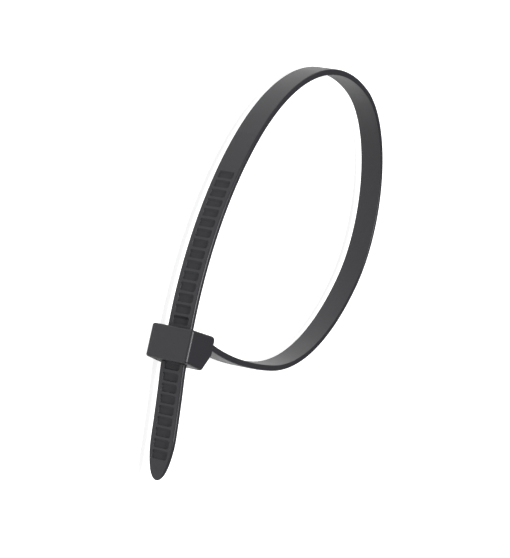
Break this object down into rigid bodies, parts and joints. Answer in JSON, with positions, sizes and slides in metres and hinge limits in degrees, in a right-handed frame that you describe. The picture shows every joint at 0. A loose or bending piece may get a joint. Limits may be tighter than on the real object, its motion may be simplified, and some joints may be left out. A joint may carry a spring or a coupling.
{
  "type": "cable tie",
  "caption": "Black nylon cable tie pulled into a loop: a flat strap with a ladder of pockets passes through the locking head at its other end, and its short tail sticks out.",
  "frame": {"origin": "centre of the loop's round end, where a round bundle seats, in the middle of the strap's width", "axes": "the loop lies flat in the XY plane, with the head at its -X end and the tail pointing towards -Y; +Z is across the strap's width"},
  "size_m": [0.0897, 0.0856, 0.0084],
  "materials": {
    "nylon": "black moulded nylon, satin, with rounded edges that catch the light"
  },
  "bodies": {
    "root": {"cable_tie": "nylon"}
  },
  "joints": []
}
